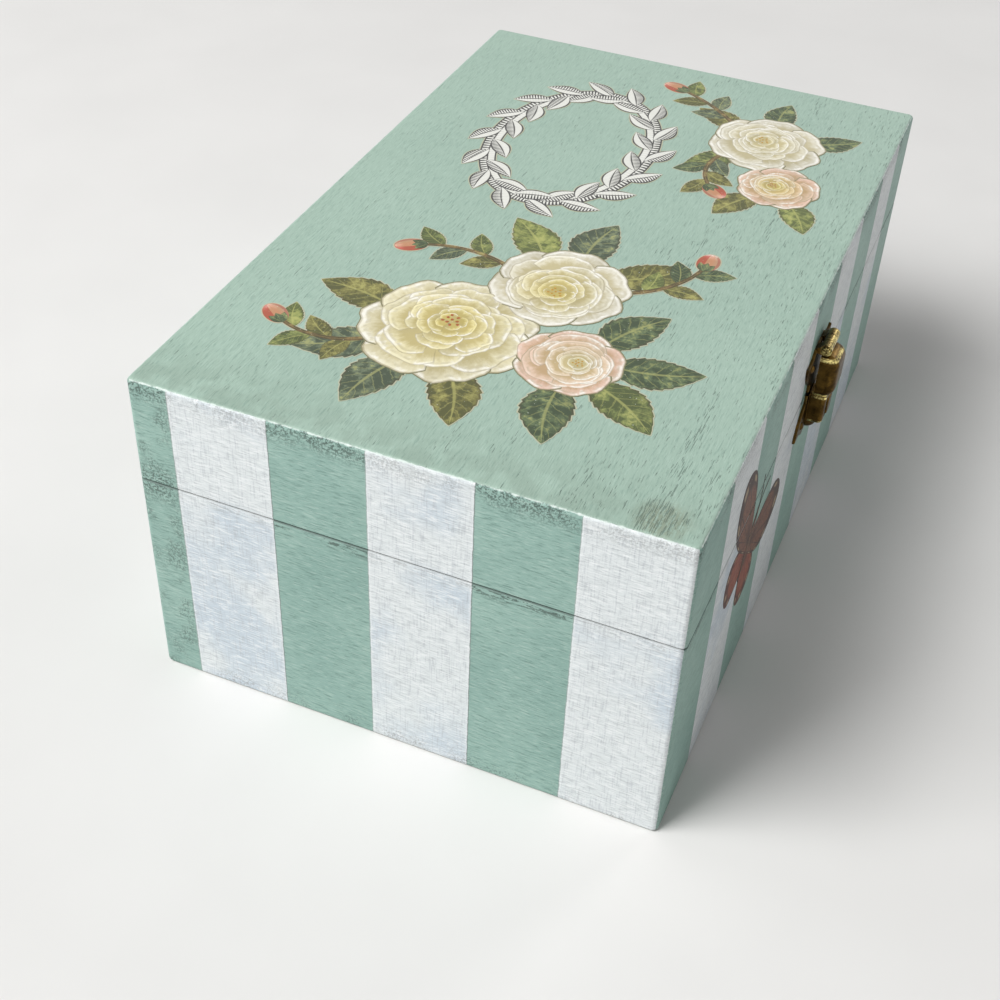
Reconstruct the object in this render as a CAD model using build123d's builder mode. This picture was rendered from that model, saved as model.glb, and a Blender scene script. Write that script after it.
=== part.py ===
"""A hinged wooden keepsake box with a hasp, as an assembly of its boards and brass fittings.

The box stands on its underside. X runs along its length, Y from the front (negative,
where the hasp is) to the back (positive, where the hinges are), and Z is up. The
origin is the centre of the underside. All sizes are in millimetres.
"""

import os
from math import atan2, cos, degrees, pi, radians, sin

from build123d import *

os.makedirs("parts", exist_ok=True)

# Carcass
box_length = 222.0
box_depth = 140.0
box_height = 94.0
base_height = 64.0
seam_gap = 0.2
wall = 8.0
bottom_thickness = 4.0
top_thickness = 5.0
corner_radius = 1.6
edge_radius = 1.1
seam_ease = 0.3

front_y = -box_depth / 2
back_y = box_depth / 2
seam_z = base_height + seam_gap / 2
lid_low = base_height + seam_gap
frame_top = box_height - top_thickness

# Butt hinges, screwed to the outside of the back
hinge_end_distance = 45.0
hinge_width = 25.0
leaf_height = 11.5
leaf_thickness = 0.9
leaf_corner = 1.5
hinge_pin_radius = 1.0
hinge_pin_head = 0.5
hinge_head_step = 0.4
pin_clearance = 0.05
knuckle_wall = 0.85
knuckle_back_gap = 0.1
knuckle_end_gap = 0.2
knuckle_side_clearance = 0.3
hinge_screw_spacing = 15.0
hinge_screw_rise = 7.4
screw_radius = 0.9
screw_head_radius = 1.7
screw_length = 6.5
screw_slot_width = 0.45
screw_slot_depth = 0.4
screw_turn = 50.0
drill_clearance = 0.05

hinge_reach = box_length / 2 - hinge_end_distance
knuckle_radius = hinge_pin_radius + pin_clearance + knuckle_wall
hinge_axis_y = back_y + knuckle_back_gap + knuckle_radius
knuckle_length = (hinge_width - 2 * knuckle_end_gap) / 3
knuckle_pitch = knuckle_length + knuckle_end_gap
leaf_relief = knuckle_radius + knuckle_side_clearance

# Plates of the hasp, heights measured from the seam
plate_thickness = 0.8
plate_edge = 0.2
plate_half_waist = 5.6
plate_low = 0.6
plate_shoulder = 3.2
plate_top = 14.0
plate_half_top = 5.2
ear_tip_out = 12.4
ear_tip_up = 12.2
ear_belly = 1.6
ear_hollow = 1.1
nail_out = 7.4
nail_up = 9.4
nail_radius = 0.55
nail_head_radius = 1.25
nail_head_height = 0.7
nail_length = 6.0

# Knuckles and pin of the hasp, heights from the seam and distances out from the front
hasp_axis_up = 14.2
hasp_axis_out = 2.9
hasp_pin_radius = 0.7
hasp_pin_head = 0.4
hasp_head_step = 0.5
hasp_knuckle_wall = 0.9
hasp_knuckle_length = 3.0
hasp_knuckle_gap = 0.2
hasp_web_drop = 1.3
hasp_knuckle_radius = hasp_pin_radius + pin_clearance + hasp_knuckle_wall
hasp_knuckle_pitch = hasp_knuckle_length + hasp_knuckle_gap

# Domed flap of the hasp and the slotted arm below it
hasp_sheet = 0.9
dome_back = 2.0
dome_front = 7.2
dome_half_width = 5.2
dome_top = 12.3
dome_bottom = -0.8
dome_top_round = 3.2
dome_bottom_round = 3.8
dome_side_round = 2.2
neck_depth = 1.8
arm_half_width = 4.6
arm_front = 5.6
arm_back = 1.6
arm_top = 1.0
arm_bottom = -9.6
arm_side_round = 1.2
arm_foot_round = 1.4
arm_boss_clearance = 0.3
slot_half_width = 2.7
slot_top = -1.9
slot_bottom = -8.2
slot_corner = 0.8

# Boss on the base plate, and the nose on it that the hasp's slot drops over
boss_radius = 2.9
boss_top = -1.4
boss_bottom = -13.6
boss_top_round = 0.6
nose_clearance = 0.4
nose_bottom_clearance = 0.8
nose_out = 6.1
nose_corner = 0.9
nose_edge_radius = 0.5

# Brads that hold the bottom panel
brad_radius = 0.6
brad_length = 14.0
brad_head_radius = 1.1
brad_head_height = 0.5
brad_recess = 0.3
brads_along = 4
brads_across = 2
brad_end_margin = 26.0

# Paper cut-outs glued to the lid and the front
paper_thickness = 0.15
leaf_width_share = 0.5
leaf_root_share = 0.7
twig_width = 1.8
twig_leaf_length = 11.0
twig_leaf_spread = 50.0
twig_leaf_places = ((0.34, 1), (0.48, -1), (0.62, 1), (0.78, -1))
bud_length = 9.0
bud_width = 6.0

# Left bouquet, its blooms and twigs placed from its middle
left_bouquet_x = -52.0
left_bouquet_y = 2.0
left_leaf_length = 24.0
left_bloom_places = ((-8.0, 9.0), (22.0, -9.0), (-8.0, -23.0))
left_bloom_radii = (21.0, 17.0, 12.5)
left_petal_counts = (7, 6, 5)
left_leaf_angles = ((80, 125, 165, 205), (40, -5, -50), (190, 235, 285, 330))
left_twigs = (
    ((-14.0, 20.0), (-24.0, 34.0), (-20.0, 50.0)),
    ((18.0, -2.0), (28.0, 16.0), (24.0, 34.0)),
    ((24.0, -18.0), (34.0, -34.0), (50.0, -40.0)),
)

# Right bouquet
right_bouquet_x = 70.0
right_bouquet_y = -34.0
right_leaf_length = 18.0
right_bloom_places = ((0.0, 0.0), (-24.0, -10.0))
right_bloom_radii = (16.0, 11.0)
right_petal_counts = (6, 5)
right_leaf_angles = ((-60, 0, 60, 140, 200), (150, 210))
right_twigs = (
    ((2.0, 8.0), (14.0, 18.0), (25.0, 36.0)),
    ((-6.0, 6.0), (-22.0, 12.0), (-34.0, 6.0)),
)

# Engraved wreath, an oval band of paper with leaf tips
wreath_x = 44.0
wreath_y = 18.0
wreath_half_length = 38.0
wreath_half_depth = 25.0
wreath_band = 5.0
wreath_leaves = 32
wreath_leaf_length = 12.0
wreath_leaf_width = 5.6
wreath_leaf_lean = 32.0

# Butterfly on the front, each wing an outline beside a body that points up
butterfly_x = -54.0
butterfly_up = -14.0
butterfly_tilt = -39.0
upper_wing = (
    (1.0, 3.0),
    (14.0, 14.0),
    (26.5, 17.5),
    (32.0, 14.0),
    (28.5, 4.5),
    (19.0, -1.5),
    (1.0, -3.0),
)
lower_wing = (
    (1.0, 0.0),
    (13.0, -2.5),
    (18.5, -7.5),
    (15.5, -14.5),
    (8.0, -17.0),
    (1.0, -10.0),
)
butterfly_body_length = 21.0
butterfly_body_width = 4.0


def finish(part, name):
    """Labels a finished piece and writes its file."""
    part.label = name
    export_step(part, f"parts/{name}.step")


def front_plane(x, z, out=0.0):
    """A plane parallel to the front, facing out, with its own Y up."""
    return Plane(origin=(x, front_y - out, z), x_dir=(1, 0, 0), z_dir=(0, -1, 0))


def back_plane(x, z):
    """A plane on the outside of the back, facing out, with its own Y up."""
    return Plane(origin=(x, back_y, z), x_dir=(-1, 0, 0), z_dir=(0, 1, 0))


def hinge_axis_plane(x):
    """A plane square to the hinge pins, centred on their axis."""
    return Plane(origin=(x, hinge_axis_y, seam_z), z_dir=(1, 0, 0))


def hasp_axis_plane():
    """A plane square to the hasp's pin, centred on its axis."""
    return Plane(origin=(0, front_y - hasp_axis_out, seam_z + hasp_axis_up), z_dir=(1, 0, 0))


def hasp_side_plane(x):
    """A side view of the hasp: its own X runs out from the front, its own Y up from the seam."""
    return Plane(origin=(x, front_y, seam_z), x_dir=(0, -1, 0), z_dir=(-1, 0, 0))


def hinge_screw_planes(direction):
    """Where the hinge screws enter the back: below the seam for -1, above it for 1."""
    height = seam_z + direction * hinge_screw_rise
    return [
        back_plane(hinge_x + side * hinge_screw_spacing / 2, height)
        for hinge_x in (-hinge_reach, hinge_reach)
        for side in (-1, 1)
    ]


def nail_planes(direction):
    """Where the two nails of one hasp plate enter the front."""
    return [front_plane(side * nail_out, seam_z + direction * nail_up) for side in (-1, 1)]


def brad_points():
    """Where the brads come up through the bottom panel, in the middle of the walls."""
    reach_x = box_length / 2 - wall / 2
    reach_y = box_depth / 2 - wall / 2
    span_x = box_length - 2 * brad_end_margin
    span_y = box_depth - 2 * brad_end_margin
    points = []
    for side in (-1, 1):
        for step in range(brads_along):
            points.append((span_x * (step / (brads_along - 1) - 0.5), side * reach_y))
        for step in range(brads_across):
            points.append((side * reach_x, span_y * (step / (brads_across - 1) - 0.5)))
    return points


def frame_board(low, high, side, eased_end):
    """One wall of a frame, mitred at both ends, the outer corners sanded round.

    side is the way that the wall faces, as a unit step in X and Y. eased_end is -1
    where the upper rim meets the seam and 0 where the lower rim does.
    """
    half_x = box_length / 2
    half_y = box_depth / 2
    if side[0] == 0:
        outer = [(-half_x, side[1] * half_y), (half_x, side[1] * half_y)]
        inner = [(half_x - wall, side[1] * (half_y - wall)), (wall - half_x, side[1] * (half_y - wall))]
    else:
        outer = [(side[0] * half_x, -half_y), (side[0] * half_x, half_y)]
        inner = [(side[0] * (half_x - wall), half_y - wall), (side[0] * (half_x - wall), wall - half_y)]
    with BuildPart() as board:
        with BuildSketch(Plane.XY.offset(low)):
            RectangleRounded(box_length, box_depth, corner_radius)
        extrude(amount=high - low)
        chamfer(board.faces().sort_by(Axis.Z)[eased_end].edges(), seam_ease)
        with BuildSketch(Plane.XY.offset(low)):
            with BuildLine():
                Polyline(*outer, *inner, close=True)
            make_face()
        extrude(amount=high - low, mode=Mode.INTERSECT)
    return board.part


def drilled(part, planes, radius, depth):
    """The part with a blind hole at each plane."""
    with BuildPart() as board:
        add(part)
        with Locations(*planes):
            Hole(radius + drill_clearance, depth)
    return board.part


wall_sides = {"front": (0, -1), "back": (0, 1), "left": (-1, 0), "right": (1, 0)}


def base_walls():
    """The four boards of the base, drilled for the screws, nails and brads."""
    for name, side in wall_sides.items():
        board = frame_board(bottom_thickness, base_height, side, -1)
        if name == "front":
            board = drilled(board, nail_planes(-1), nail_radius, nail_length)
        if name == "back":
            board = drilled(board, hinge_screw_planes(-1), screw_radius, screw_length)
        inner_face = (box_length / 2 if side[0] else box_depth / 2) - wall
        own = [(x, y) for x, y in brad_points() if x * side[0] + y * side[1] > inner_face]
        planes = [Plane(origin=(x, y, brad_recess), z_dir=(0, 0, -1)) for x, y in own]
        board = drilled(board, planes, brad_radius, brad_recess + brad_head_height + brad_length)
        finish(board, f"base_{name}_board")


def lid_walls():
    """The four boards of the lid."""
    for name, side in wall_sides.items():
        board = frame_board(lid_low, frame_top, side, 0)
        if name == "front":
            board = drilled(board, nail_planes(1), nail_radius, nail_length)
        if name == "back":
            board = drilled(board, hinge_screw_planes(1), screw_radius, screw_length)
        finish(board, f"lid_{name}_board")


def bottom_panel():
    """The panel glued and pinned under the base, flush with the walls."""
    with BuildPart() as panel:
        with BuildSketch():
            RectangleRounded(box_length, box_depth, corner_radius)
        extrude(amount=bottom_thickness)
        fillet(panel.faces().sort_by(Axis.Z)[0].edges(), edge_radius)
        with Locations(*[Plane(origin=(x, y, 0), z_dir=(0, 0, -1)) for x, y in brad_points()]):
            CounterBoreHole(
                radius=brad_radius + drill_clearance,
                counter_bore_radius=brad_head_radius + drill_clearance,
                counter_bore_depth=brad_recess + brad_head_height,
            )
    finish(panel.part, "base_bottom_panel")


def top_panel():
    """The panel glued over the lid's frame, its upper edges sanded round."""
    with BuildPart() as panel:
        with BuildSketch(Plane.XY.offset(frame_top)):
            RectangleRounded(box_length, box_depth, corner_radius)
        extrude(amount=top_thickness)
        fillet(panel.faces().sort_by(Axis.Z)[-1].edges(), edge_radius)
    finish(panel.part, "lid_top_panel")


def hinge_leaf(hinge_x, direction, own_knuckles):
    """One leaf of a butt hinge: a plate on the back with knuckles rolled round the pin.

    direction is -1 for the leaf on the base and 1 for the leaf on the lid.
    """
    other_knuckles = [k for k in (-1, 0, 1) if k not in own_knuckles]
    with BuildPart() as leaf:
        with BuildSketch(back_plane(hinge_x, seam_z)) as outline:
            with Locations((0, direction * leaf_height / 2)):
                Rectangle(hinge_width, leaf_height)
            rows = outline.vertices().group_by(Axis.Y)
            fillet(rows[-1] if direction > 0 else rows[0], leaf_corner)
            with Locations(*[(-k * knuckle_pitch, 0) for k in other_knuckles]):
                Rectangle(
                    knuckle_length + 2 * knuckle_end_gap,
                    2 * leaf_relief,
                    mode=Mode.SUBTRACT,
                )
        extrude(amount=leaf_thickness)
        for knuckle in own_knuckles:
            with BuildSketch(hinge_axis_plane(hinge_x + knuckle * knuckle_pitch)):
                Circle(knuckle_radius)
            extrude(amount=knuckle_length / 2, both=True)
        with Locations(hinge_axis_plane(hinge_x)):
            Hole(hinge_pin_radius + pin_clearance)
        screw_planes = [
            back_plane(hinge_x + side * hinge_screw_spacing / 2, seam_z + direction * hinge_screw_rise)
            for side in (-1, 1)
        ]
        with Locations(*[plane.offset(leaf_thickness) for plane in screw_planes]):
            CounterSinkHole(
                radius=screw_radius + drill_clearance,
                counter_sink_radius=screw_head_radius + drill_clearance,
                counter_sink_angle=90,
            )
    return leaf.part


def headed_pin(centre, radius, half_length, head_radius, head_length):
    """A round pin along the plane's normal, with a small head at each end."""
    with BuildPart() as pin:
        with BuildSketch(centre):
            Circle(radius)
        extrude(amount=half_length, both=True)
        for end in (-1, 1):
            with BuildSketch(centre.offset(end * half_length)):
                Circle(head_radius)
            extrude(amount=end * head_length)
        ends = pin.faces().filter_by(GeomType.PLANE).sort_by(Axis.X)
        chamfer([*ends[0].edges(), *ends[-1].edges()], head_length / 2)
    return pin.part


def slotted_screw():
    """One countersunk screw, head up, the rim of its cone at the origin's height."""
    cone = screw_head_radius - screw_radius
    crown = cone / 2
    with BuildPart() as screw:
        with BuildSketch(Plane.XZ):
            with BuildLine():
                Polyline(
                    (0, crown),
                    (0, -screw_length),
                    (screw_radius, -screw_length + screw_radius),
                    (screw_radius, -cone),
                    (screw_head_radius, 0),
                )
                TangentArc((0, crown), (screw_head_radius, 0), tangent=(1, 0))
            make_face()
        revolve(axis=Axis.Z)
        with BuildSketch(Plane.XY.offset(crown)):
            Rectangle(3 * screw_head_radius, screw_slot_width)
        extrude(amount=-screw_slot_depth, mode=Mode.SUBTRACT)
    return screw.part


def domed_nail(radius, length, head_radius, head_height):
    """One nail with a domed head, the underside of the head at the origin."""
    with BuildPart() as nail:
        with BuildSketch(Plane.XZ):
            with BuildLine():
                Polyline(
                    (0, head_height),
                    (0, -length),
                    (radius, -length + 2 * radius),
                    (radius, 0),
                    (head_radius, 0),
                )
                TangentArc((0, head_height), (head_radius, 0), tangent=(1, 0))
            make_face()
        revolve(axis=Axis.Z)
    return nail.part


def fasteners(template, places, name):
    """A group of separate fasteners, one at each place."""
    with BuildPart() as group:
        with Locations(*places):
            add(template)
    finish(group.part, name)


def hinges():
    """Both butt hinges with their pins and screws."""
    for side_name, hinge_x in (("left", -hinge_reach), ("right", hinge_reach)):
        finish(hinge_leaf(hinge_x, -1, (-1, 1)), f"hinge_{side_name}_base_leaf")
        finish(hinge_leaf(hinge_x, 1, (0,)), f"hinge_{side_name}_lid_leaf")
        pin = headed_pin(
            hinge_axis_plane(hinge_x),
            hinge_pin_radius,
            hinge_width / 2,
            knuckle_radius - hinge_head_step,
            hinge_pin_head,
        )
        finish(pin, f"hinge_{side_name}_pin")
    for direction, name in ((-1, "hinge_base_screws"), (1, "hinge_lid_screws")):
        places = [
            plane.offset(leaf_thickness).location * Location((0, 0, 0), (0, 0, screw_turn * number))
            for number, plane in enumerate(hinge_screw_planes(direction))
        ]
        fasteners(slotted_screw(), places, name)


def hasp_plate(direction):
    """The stamped plate with two pointed ears: above the seam for 1, below it for -1."""
    low = direction * plate_low
    shoulder = direction * plate_shoulder
    top = direction * plate_top
    tip = direction * ear_tip_up
    with BuildPart() as plate:
        with BuildSketch(front_plane(0, seam_z)):
            with BuildLine():
                for side in (-1, 1):
                    turn = side * direction
                    waist = side * plate_half_waist
                    ear = side * ear_tip_out
                    crest = side * plate_half_top
                    Polyline((0, low), (waist, low), (waist, shoulder))
                    SagittaArc((waist, shoulder), (ear, tip), -turn * ear_belly)
                    SagittaArc((ear, tip), (crest, top), turn * ear_hollow)
                    Line((crest, top), (0, top))
            make_face()
        extrude(amount=plate_thickness)
        chamfer(plate.faces().sort_by(Axis.Y)[0].edges(), plate_edge)
        with Locations(*nail_planes(direction)):
            Hole(nail_radius + drill_clearance)
    return plate.part


def hasp_lid_plate():
    """The lid's plate, with the two outer knuckles that carry the hasp."""
    with BuildPart() as plate:
        add(hasp_plate(1))
        for side in (-1, 1):
            with BuildSketch(hasp_side_plane(side * hasp_knuckle_pitch)):
                with Locations((hasp_axis_out, hasp_axis_up)):
                    Circle(hasp_knuckle_radius)
                with BuildLine():
                    Polyline(
                        (0, hasp_axis_up - hasp_web_drop),
                        (0, plate_top),
                        (hasp_axis_out, hasp_axis_up + hasp_knuckle_radius),
                        (hasp_axis_out, hasp_axis_up - hasp_knuckle_radius),
                        close=True,
                    )
                make_face()
            extrude(amount=hasp_knuckle_length / 2, both=True)
        with Locations(hasp_axis_plane()):
            Hole(hasp_pin_radius + pin_clearance)
    finish(plate.part, "hasp_lid_plate")


def hasp_base_plate():
    """The base's plate, with the raised boss and the nose that the hasp drops over."""
    nose_top = slot_top - nose_clearance
    nose_bottom = slot_bottom + nose_bottom_clearance
    round_centre = boss_bottom + boss_radius
    with BuildPart() as plate:
        add(hasp_plate(-1))
        with BuildSketch(front_plane(0, seam_z, plate_thickness)):
            with BuildLine():
                Polyline((0, boss_bottom), (0, boss_top), (boss_radius - boss_top_round, boss_top))
                CenterArc(
                    (boss_radius - boss_top_round, boss_top - boss_top_round), boss_top_round, 0, 90
                )
                Line((boss_radius, boss_top - boss_top_round), (boss_radius, round_centre))
                CenterArc((0, round_centre), boss_radius, -90, 90)
            make_face()
        revolve(axis=Axis((0, front_y - plate_thickness, seam_z), (0, 0, -1)), revolution_arc=180)
        with BuildSketch(front_plane(0, seam_z, plate_thickness)):
            with Locations((0, (nose_top + nose_bottom) / 2)):
                RectangleRounded(
                    2 * (slot_half_width - nose_clearance), nose_top - nose_bottom, nose_corner
                )
        extrude(amount=nose_out - plate_thickness)
        fillet(plate.faces().sort_by(Axis.Y)[0].edges(), nose_edge_radius)
    finish(plate.part, "hasp_base_plate")


def dome_block(inset):
    """The hasp's dome as a solid block, drawn in by inset, its back left long when inset."""
    back = dome_back - 2 * inset
    front = dome_front - inset
    top = dome_top - inset
    bottom = dome_bottom + inset
    top_round = dome_top_round - inset
    bottom_round = dome_bottom_round - inset
    with BuildPart() as dome:
        with BuildSketch(hasp_side_plane(0)):
            with BuildLine():
                Polyline(
                    (front - bottom_round, bottom),
                    (back, bottom),
                    (back, top),
                    (front - top_round, top),
                )
                CenterArc((front - top_round, top - top_round), top_round, 0, 90)
                Line((front, top - top_round), (front, bottom + bottom_round))
                CenterArc((front - bottom_round, bottom + bottom_round), bottom_round, -90, 90)
            make_face()
        extrude(amount=dome_half_width - inset, both=True)
        side_rims = dome.faces().filter_by(Axis.X).edges().group_by(Axis.Y)[:-1]
        fillet([edge for rim in side_rims for edge in rim], dome_side_round - inset)
    return dome.part


def arm_block(inset):
    """The hasp's arm as a solid block with a rounded foot, drawn in by inset, its back left long."""
    back = arm_back - 2 * inset
    front = arm_front - inset
    foot = arm_bottom + inset
    foot_round = arm_foot_round - inset
    with BuildPart() as arm:
        with BuildSketch(hasp_side_plane(0)):
            with BuildLine():
                Polyline(
                    (front - foot_round, foot),
                    (back, foot),
                    (back, arm_top),
                    (front, arm_top),
                    (front, foot + foot_round),
                )
                CenterArc((front - foot_round, foot + foot_round), foot_round, -90, 90)
            make_face()
        extrude(amount=arm_half_width - inset, both=True)
        side_rims = arm.faces().filter_by(Axis.X).edges().group_by(Axis.Y)[:-1]
        fillet([edge for rim in side_rims for edge in rim], arm_side_round - inset)
    return arm.part


def hasp():
    """The swinging hasp: a pressed dome, a neck to its knuckle, and a slotted arm over the boss."""
    with BuildPart() as flap:
        add(dome_block(0))
        add(arm_block(0))
        add(dome_block(hasp_sheet), mode=Mode.SUBTRACT)
        add(arm_block(hasp_sheet), mode=Mode.SUBTRACT)
        with BuildSketch(Plane(origin=(0, front_y - plate_thickness, seam_z + arm_bottom))):
            Circle(boss_radius + arm_boss_clearance)
        extrude(amount=2 * hasp_sheet, both=True, mode=Mode.SUBTRACT)
        with BuildSketch(front_plane(0, seam_z, arm_front - 2 * hasp_sheet)):
            with Locations((0, (slot_top + slot_bottom) / 2)):
                RectangleRounded(2 * slot_half_width, slot_top - slot_bottom, slot_corner)
        extrude(amount=3 * hasp_sheet, mode=Mode.SUBTRACT)
        with BuildSketch(hasp_side_plane(0)):
            with Locations((hasp_axis_out, hasp_axis_up)):
                Circle(hasp_knuckle_radius)
            with BuildLine():
                Polyline(
                    (dome_back, dome_top - hasp_sheet),
                    (dome_back, hasp_axis_up),
                    (dome_back + neck_depth, hasp_axis_up),
                    (dome_back + neck_depth, dome_top - hasp_sheet),
                    close=True,
                )
            make_face()
        extrude(amount=hasp_knuckle_length / 2, both=True)
        with Locations(hasp_axis_plane()):
            Hole(hasp_pin_radius + pin_clearance)
    finish(flap.part, "hasp")


def hasp_fittings():
    """The hasp's plates, the hasp itself, its pin and the nails of both plates."""
    hasp_lid_plate()
    hasp_base_plate()
    hasp()
    pin = headed_pin(
        hasp_axis_plane(),
        hasp_pin_radius,
        hasp_knuckle_pitch + hasp_knuckle_length / 2,
        hasp_knuckle_radius - hasp_head_step,
        hasp_pin_head,
    )
    finish(pin, "hasp_pin")
    nail = domed_nail(nail_radius, nail_length, nail_head_radius, nail_head_height)
    for direction, name in ((-1, "hasp_base_nails"), (1, "hasp_lid_nails")):
        fasteners(nail, [plane.offset(plate_thickness) for plane in nail_planes(direction)], name)


def bottom_brads():
    """The brads through the bottom panel, heads down and sunk a little below the wood."""
    brad = domed_nail(brad_radius, brad_length, brad_head_radius, brad_head_height)
    head_seat = brad_recess + brad_head_height
    planes = [Plane(origin=(x, y, head_seat), z_dir=(0, 0, -1)) for x, y in brad_points()]
    fasteners(brad, planes, "bottom_brads")


def leaf_shape(length, width):
    """One pointed leaf, its root at the origin, along its own X."""
    with BuildSketch() as leaf:
        with BuildLine():
            SagittaArc((0, 0), (length, 0), width / 2)
            SagittaArc((length, 0), (0, 0), width / 2)
        make_face()
    return leaf.sketch


def put_leaf(leaf, root, angle):
    """Adds a leaf to the sketch in hand, its root at a point and its tip the way of the angle."""
    with Locations(Location((*root, 0), (0, 0, angle))):
        add(leaf)


def bouquet(middle, places, radii, petal_counts, leaf_angles, twigs, leaf_length, name):
    """One paper cut-out of scalloped blooms with leaves round them and twigs with buds."""
    leaf = leaf_shape(leaf_length, leaf_width_share * leaf_length)
    twig_leaf = leaf_shape(twig_leaf_length, leaf_width_share * twig_leaf_length)
    with BuildPart() as paper:
        with BuildSketch(Plane(origin=(*middle, box_height))):
            for (x, y), radius, petals, angles in zip(places, radii, petal_counts, leaf_angles):
                petal_radius = radius * sin(pi / petals)
                with Locations((x, y)):
                    Circle(radius - petal_radius)
                    with PolarLocations(radius - petal_radius, petals):
                        Circle(1.15 * petal_radius)
                for angle in angles:
                    reach = leaf_root_share * radius
                    root = (x + reach * cos(radians(angle)), y + reach * sin(radians(angle)))
                    put_leaf(leaf, root, angle)
            for start, bend, end in twigs:
                with BuildLine():
                    ThreePointArc(start, bend, end)
                trace(line_width=twig_width)
                arc = Edge.make_three_point_arc(Vector(*start), Vector(*bend), Vector(*end))
                for share, side in twig_leaf_places:
                    root = arc.position_at(share)
                    angle = arc.tangent_angle_at(share) + side * twig_leaf_spread
                    put_leaf(twig_leaf, (root.X, root.Y), angle)
                with Locations(Location((*end, 0), (0, 0, arc.tangent_angle_at(1)))):
                    Ellipse(bud_length / 2, bud_width / 2)
        extrude(amount=paper_thickness)
    finish(paper.part, name)


def wreath():
    """The oval wreath of paper: a band with leaf tips leaning along it on both sides."""
    leaf = leaf_shape(wreath_leaf_length, wreath_leaf_width)
    with BuildPart() as paper:
        with BuildSketch(Plane(origin=(wreath_x, wreath_y, box_height))):
            Ellipse(wreath_half_length, wreath_half_depth)
            Ellipse(wreath_half_length - wreath_band, wreath_half_depth - wreath_band, mode=Mode.SUBTRACT)
            for number in range(wreath_leaves):
                turn = 2 * pi * number / wreath_leaves
                x = (wreath_half_length - wreath_band / 2) * cos(turn)
                y = (wreath_half_depth - wreath_band / 2) * sin(turn)
                along = degrees(atan2(wreath_half_depth * cos(turn), -wreath_half_length * sin(turn)))
                lean = wreath_leaf_lean if number % 2 else -wreath_leaf_lean
                put_leaf(leaf, (x, y), along + lean)
        extrude(amount=paper_thickness)
    finish(paper.part, "lid_paper_wreath")


def butterfly(direction, name):
    """The part of the butterfly that lies above the seam for 1, or below it for -1."""
    with BuildSketch() as outline:
        for wing in (upper_wing, lower_wing):
            with BuildLine():
                Spline(*wing)
                Line(wing[-1], wing[0])
            make_face()
        mirror(about=Plane.YZ)
        Ellipse(butterfly_body_width / 2, butterfly_body_length / 2)
    with BuildPart() as paper:
        with BuildSketch(front_plane(0, seam_z)):
            with Locations(Location((butterfly_x, butterfly_up, 0), (0, 0, butterfly_tilt))):
                add(outline.sketch)
            reach = box_length
            with Locations((0, direction * (reach + seam_gap) / 2 + direction * seam_ease)):
                Rectangle(2 * reach, reach, mode=Mode.INTERSECT)
        extrude(amount=paper_thickness)
    finish(paper.part, name)


def paper_cutouts():
    """All the paper on the box."""
    bouquet(
        (left_bouquet_x, left_bouquet_y),
        left_bloom_places,
        left_bloom_radii,
        left_petal_counts,
        left_leaf_angles,
        left_twigs,
        left_leaf_length,
        "lid_paper_left_bouquet",
    )
    bouquet(
        (right_bouquet_x, right_bouquet_y),
        right_bloom_places,
        right_bloom_radii,
        right_petal_counts,
        right_leaf_angles,
        right_twigs,
        right_leaf_length,
        "lid_paper_right_bouquet",
    )
    wreath()
    butterfly(1, "lid_paper_butterfly_top")
    butterfly(-1, "base_paper_butterfly_bottom")


base_walls()
lid_walls()
bottom_panel()
top_panel()
hinges()
hasp_fittings()
bottom_brads()
paper_cutouts()
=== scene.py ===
# %% [markdown]
# # A painted wooden box, dressed
#
# The box comes from a solid model that already has its boards, hinges and hasp at their real
# size. This lesson gives it what solids can't hold: brushed paint, rubbed edges, printed paper
# and old brass. We start by loading that model as a fixed frame. Its coordinates are metres,
# with X along the box, Y from front to back, Z up and the origin under its middle.

# %% Load the frame
import math
import bmesh
import bpy
import numpy as np
from mathutils import Matrix, Vector


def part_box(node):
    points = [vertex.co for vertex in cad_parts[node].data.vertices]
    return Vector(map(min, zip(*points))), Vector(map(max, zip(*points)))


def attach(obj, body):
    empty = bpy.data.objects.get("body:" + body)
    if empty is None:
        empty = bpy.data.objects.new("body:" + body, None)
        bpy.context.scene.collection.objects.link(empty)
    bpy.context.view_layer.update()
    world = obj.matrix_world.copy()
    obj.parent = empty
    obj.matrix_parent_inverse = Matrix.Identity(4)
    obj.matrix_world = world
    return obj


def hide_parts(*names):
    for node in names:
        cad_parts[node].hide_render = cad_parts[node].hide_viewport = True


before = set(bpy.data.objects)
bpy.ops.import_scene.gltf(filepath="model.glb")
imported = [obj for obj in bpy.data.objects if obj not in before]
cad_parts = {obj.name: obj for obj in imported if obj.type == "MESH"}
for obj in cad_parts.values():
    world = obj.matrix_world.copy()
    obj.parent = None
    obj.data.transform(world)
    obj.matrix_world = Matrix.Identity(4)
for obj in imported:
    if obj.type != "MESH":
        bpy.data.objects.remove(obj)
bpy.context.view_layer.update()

# %% [markdown]
# The pattern of stripes and the wear both follow the edges of the box, so the first thing that
# we need is where those edges are. They are read from the frame, in millimetres, because paint
# and grain are easier to think about in that unit.

# %% Sizes of the box
MM = 0.001
panel_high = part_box("lid_top_panel")[1]
half_length = panel_high.x / MM
half_depth = panel_high.y / MM
height = panel_high.z / MM
front_low, front_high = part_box("base_front_board")
board_thickness = (front_high.y - front_low.y) / MM
bottom_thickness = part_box("base_bottom_panel")[1].z / MM
base_rim = front_high.z / MM
lid_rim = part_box("lid_front_board")[0].z / MM
seam = (base_rim + lid_rim) / 2
print(f"box {2 * half_length:.1f} x {2 * half_depth:.1f} x {height:.1f} mm, seam at {seam:.1f}")

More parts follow.
